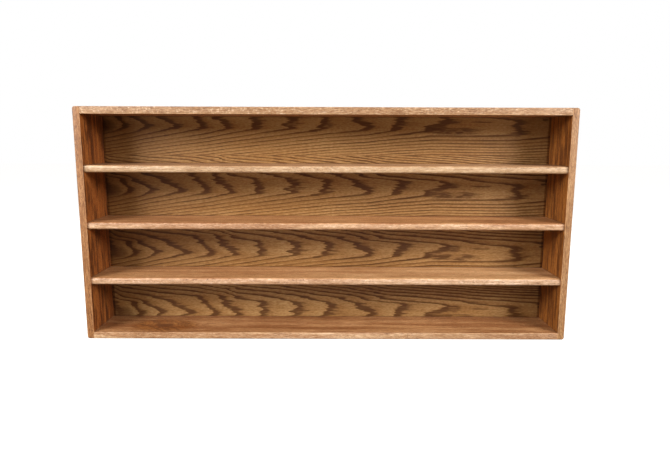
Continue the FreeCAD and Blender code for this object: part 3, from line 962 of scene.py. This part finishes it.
def growOut(make, points, seed, spin, prototype, turn, material):
    # one prototype on each point, turned and then spun on its own axis by up to spin either way
    placed = make.add("GeometryNodeInstanceOnPoints", {"Points": points, "Instance": prototype,
                                                       "Rotation": turn}).outputs[0]
    angle = make.random(make.times(spin, -1.0), spin, seed)
    placed = make.add("GeometryNodeRotateInstances", {"Instances": placed, "Rotation": make.xyz(0, 0, angle),
                                                      "Local Space": True}).outputs[0]
    for name, low, high in (("tone", 0.82, 1.06), ("shift", (0.0, 8.0, 20.0), (900.0, 60.0, 90.0))):
        isVector = isinstance(low, tuple)
        placed = make.add("GeometryNodeStoreNamedAttribute",
                          {"Geometry": placed, "Name": name, "Value": make.random(low, high, seed)},
                          data_type="FLOAT_VECTOR" if isVector else "FLOAT", domain="INSTANCE").outputs[0]
    real = make.add("GeometryNodeRealizeInstances", {"Geometry": placed}).outputs[0]
    return make.add("GeometryNodeSetMaterial", {"Geometry": real, "Material": material}).outputs[0]


def grown(name, points, tree, sizes):
    data = bpy.data.meshes.new(name)
    data.from_pydata([tuple(point) for point in points], [], [])
    piece = bpy.data.objects.new(name, data)
    bpy.context.scene.collection.objects.link(piece)
    modifier = piece.modifiers.new("grow", "NODES")
    modifier.node_group = tree
    for item in tree.interface.items_tree:
        if item.name in sizes:
            modifier[item.identifier] = sizes[item.name]
    return applied(piece)


def makePlugTree(material):
    # a short dowel whose outer face is slightly domed; it lies along X, on the side that it is on
    tree, make, given, out = newTree("plugs", plugSize)
    dowel = make.add("GeometryNodeMeshCylinder", {
        "Vertices": given["sides"], "Side Segments": 1, "Fill Segments": given["rings"],
        "Radius": given["radius"], "Depth": given["length"]}, fill_type="TRIANGLE_FAN").outputs["Mesh"]
    position = make.add("GeometryNodeInputPosition").outputs[0]
    x, y, z = make.split(position)
    fromAxis = make.math("SQRT", make.plus(make.times(x, x), make.times(y, y)))
    falling = make.math("POWER", make.math("DIVIDE", fromAxis, given["radius"]), 4.0)
    drop = make.times(make.times(falling, given["crown"]), make.math("GREATER_THAN", z, 0.0))
    domed = make.add("GeometryNodeSetPosition", {"Geometry": dowel,
                                                 "Offset": make.xyz(0, 0, make.times(drop, -1.0))}).outputs[0]
    seated = moved(make, domed, make.times(given["length"], -0.5))
    marked = make.add("GeometryNodeStoreNamedAttribute", {"Geometry": seated, "Name": "place",
                                                          "Value": position},
                      data_type="FLOAT_VECTOR", domain="POINT").outputs[0]
    outwards = make.times(make.math("SIGN", x), math.pi / 2)
    turn = make.xyz(0, outwards, 0)
    make.put(out["Mesh"], growOut(make, given["Points"], given["seed"], given["spin"], marked, turn, material))
    return tree


plugPlaces = []
for name in boardNames:
    for box in islandsOf(name + "_plugs"):
        x, y, z = middleOf(box)
        plugPlaces.append((math.copysign(outerX, x), y, z))
plugs = grown("plugs_oak", plugPlaces, makePlugTree(plugMaterial()), plugSize)
takePlace(plugs, "oak_plug", *[name + "_plugs" for name in boardNames])
print("plugs made:", len(plugPlaces))

panelScrewSize = {
    "length": 16.0 * mm, "head": 3.4 * mm, "headHeight": 2.0 * mm, "shank": 1.75 * mm,
    "shankLength": 5.0 * mm,        # head included
    "core": 1.2 * mm, "pitch": 2.2 * mm, "tipLength": 3.0 * mm,
    "driveWidth": 1.09 * mm, "driveLength": 4.2 * mm, "driveDepth": 1.2 * mm,
    "sides": 32, "spin": 3.14, "seed": 23,
}


def makeScrewTree(material):
    # a countersunk cross-head screw; it points forwards from the rear face
    tree, make, given, out = newTree("panelScrews", panelScrewSize)
    past = 0.5 * mm
    head = make.add("GeometryNodeMeshCone", {
        "Vertices": given["sides"], "Side Segments": 1, "Radius Top": given["head"],
        "Radius Bottom": given["shank"], "Depth": given["headHeight"]}).outputs["Mesh"]
    head = moved(make, head, make.times(given["headHeight"], -1.0))
    slotHeight = make.plus(given["driveDepth"], past)
    cross = []
    for size in (("driveWidth", "driveLength"), ("driveLength", "driveWidth")):
        slot = make.add("GeometryNodeMeshCube", {"Size": make.xyz(given[size[0]], given[size[1]], slotHeight)})
        lift = make.less(make.times(slotHeight, 0.5), given["driveDepth"])
        cross.append(moved(make, slot.outputs["Mesh"], lift))
    cut = make.add("GeometryNodeMeshBoolean", operation="DIFFERENCE", solver="EXACT")
    cut.inputs["Self Intersection"].default_value = True
    make.put(cut.inputs["Mesh 1"], head)
    for slot in cross:
        make.put(cut.inputs["Mesh 2"], slot)
    neckLength = make.plus(make.less(given["shankLength"], given["headHeight"]), past)
    neck = make.add("GeometryNodeMeshCylinder", {
        "Vertices": given["sides"], "Side Segments": 1, "Radius": given["shank"], "Depth": neckLength})
    neck = moved(make, neck.outputs["Mesh"], make.less(make.times(neckLength, 0.5), given["shankLength"]))
    coreLength = make.less(given["length"], given["headHeight"])
    core = make.add("GeometryNodeMeshCylinder", {
        "Vertices": given["sides"], "Side Segments": 14, "Radius": given["core"], "Depth": coreLength})
    core = moved(make, core.outputs["Mesh"], make.less(make.times(coreLength, 0.5), given["length"]))
    ridge = make.less(given["shank"], given["core"])
    run = make.less(given["length"], given["shankLength"])
    spiral = make.add("GeometryNodeCurveSpiral", {
        "Resolution": 20, "Rotations": make.math("DIVIDE", run, given["pitch"]),
        "Start Radius": given["core"], "End Radius": given["core"], "Height": run}).outputs[0]
    section = make.add("GeometryNodeCurvePrimitiveCircle", {"Resolution": 4, "Radius": ridge}).outputs["Curve"]
    thread = make.add("GeometryNodeCurveToMesh", {"Curve": spiral, "Profile Curve": section,
                                                  "Fill Caps": True}).outputs[0]
    thread = moved(make, thread, make.times(given["length"], -1.0))
    position = make.add("GeometryNodeInputPosition").outputs[0]
    x, y, z = make.split(position)
    tipEnd = make.times(given["length"], -1.0)
    full = make.plus(tipEnd, given["tipLength"])
    narrow = make.add("ShaderNodeMapRange", {"Value": z, "From Min": tipEnd, "From Max": full,
                                             "To Min": 0.08, "To Max": 1.0}).outputs["Result"]
    tapered = make.add("GeometryNodeSetPosition", {
        "Geometry": joined(make, core, thread),
        "Position": make.xyz(make.times(x, narrow), make.times(y, narrow), make.math("MAXIMUM", z, tipEnd))})
    screw = joined(make, cut.outputs["Mesh"], neck, tapered.outputs[0])
    turn = make.xyz(-math.pi / 2, 0, 0)
    make.put(out["Mesh"], growOut(make, given["Points"], given["seed"], given["spin"], screw, turn, material))
    return tree


panelScrewNodes = ["panel_screws_" + name for name in boardNames + sideNames]
screwPlaces = []
for name in panelScrewNodes:
    for box in islandsOf(name):
        x, y, z = middleOf(box)
        screwPlaces.append((x, box[1].y, z))
brightZinc = steelMaterial("brightZinc", (0.72, 0.73, 0.74))
panelScrews = grown("panel_screws_zinc", screwPlaces, makeScrewTree(brightZinc), panelScrewSize)
takePlace(panelScrews, "panel_screw_steel", *panelScrewNodes)
print("panel screws made:", len(screwPlaces))


# Floor, light and camera

studio = {
    "floorTone": (0.3, 0.3, 0.3, 1),
    "floorGlow": 0.97,     # it looks white, without glare round the wood
    "surround": 0.08,      # light from all round, and its colour
    "surroundTone": (1.0, 0.74, 0.46),
    "softboxes": {         # power, size, place and colour of each, in watts and metres
        "keyLeft": (140.0, (1.4, 1.3), (-2.4, -2.2, 1.75), (1.0, 1.0, 1.0)),
        "keyRight": (140.0, (1.4, 1.3), (2.4, -2.2, 1.75), (1.0, 1.0, 1.0)),
        "lowLeft": (10.0, (1.2, 0.8), (-2.2, -2.4, 0.4), (1.0, 0.8, 0.6)),
        "lowRight": (10.0, (1.2, 0.8), (2.2, -2.4, 0.4), (1.0, 0.8, 0.6)),
        "floorBounce": (1.5, (1.3, 0.3), (0.0, -0.85, 0.02), (1.0, 0.97, 0.9)),
        "behind": (85.0, (3.0, 1.6), (0.0, 2.6, 1.7), (1.0, 1.0, 1.0)),
    },
}


def addFloor():
    data = bpy.data.meshes.new("floor")
    reach = 12.0
    data.from_pydata([(-reach, -reach, 0), (reach, -reach, 0), (reach, reach, 0), (-reach, reach, 0)], [],
                     [(0, 1, 2, 3)])
    material, make, shader = newMaterial("paleFloor")
    coords = make.add("ShaderNodeTexCoord").outputs["Object"]
    mottle = make.noise(coords, (0.9, 0.9, 0.9), detail=2.0)
    tone = studio["floorTone"]
    make.put(shader.inputs["Base Color"],
             make.blend(make.ramp(mottle, 0.2, 0.8), tone, tuple(c * 0.98 for c in tone[:3]) + (1,)))
    shader.inputs["Roughness"].default_value = 0.8
    shader.inputs["Emission Color"].default_value = (1, 1, 1, 1)
    shader.inputs["Emission Strength"].default_value = studio["floorGlow"]
    data.materials.append(material)
    floor = bpy.data.objects.new("floor", data)
    floor.visible_diffuse = False    # it throws no light up into the rows
    floor.visible_glossy = False
    bpy.context.scene.collection.objects.link(floor)


def addSoftbox(name, power, size, place, color):
    data = bpy.data.lights.new(name, "AREA")
    data.shape = "RECTANGLE"
    data.size, data.size_y = size
    data.energy = power
    data.color = color
    lamp = bpy.data.objects.new(name, data)
    lamp.location = place
    aim = Vector((0, 0, topZ / 2)) - Vector(place)
    lamp.rotation_euler = aim.to_track_quat("-Z", "Y").to_euler()
    lamp.visible_camera = False
    bpy.context.scene.collection.objects.link(lamp)


def addWorld():
    # white where the camera looks past the object, and dim as a light
    world = bpy.data.worlds.new("studio")
    world.use_nodes = True
    make = NodeMaker(world.node_tree)
    background = world.node_tree.nodes["Background"]
    seen = make.add("ShaderNodeLightPath").outputs["Is Camera Ray"]
    make.put(background.inputs["Color"], make.blend(seen, studio["surroundTone"] + (1,), (1, 1, 1, 1)))
    make.put(background.inputs["Strength"], make.ramp(seen, 0.0, 1.0, studio["surround"], 1.0))
    bpy.context.scene.world = world


cameraView = {
    "place": (16.2, -1715.95, 546.1),   # mm
    "down": 10.099, "turned": 0.116, "rolled": 0.201,   # degrees
    "focal": 614.6, "centre": (333.3, 248.7), "picture": (670, 460),   # pixels
}


def addCamera():
    pitch, yaw, roll = (math.radians(cameraView[key]) for key in ("down", "turned", "rolled"))
    forward = Vector((math.sin(yaw) * math.cos(pitch), math.cos(yaw) * math.cos(pitch), -math.sin(pitch)))
    level = Vector((math.cos(yaw), -math.sin(yaw), 0))
    above = level.cross(forward)
    right = level * math.cos(roll) + above * math.sin(roll)
    up = above * math.cos(roll) - level * math.sin(roll)
    width, height = cameraView["picture"]
    data = bpy.data.cameras.new("camera")
    data.sensor_width = 36.0
    data.lens = cameraView["focal"] / width * data.sensor_width
    data.shift_x = (width / 2 - cameraView["centre"][0]) / width
    data.shift_y = (cameraView["centre"][1] - height / 2) / width
    data.clip_start, data.clip_end = 0.05, 60.0
    camera = bpy.data.objects.new("camera", data)
    turn = Matrix((right, up, -forward)).transposed()
    camera.matrix_world = Matrix.Translation(Vector(cameraView["place"]) * mm) @ turn.to_4x4()
    bpy.context.scene.collection.objects.link(camera)
    bpy.context.scene.camera = camera


addFloor()
addWorld()
for name, values in studio["softboxes"].items():
    addSoftbox(name, *values)
addCamera()
bpy.context.scene.view_settings.view_transform = "Standard"
print("floor, light and camera set")
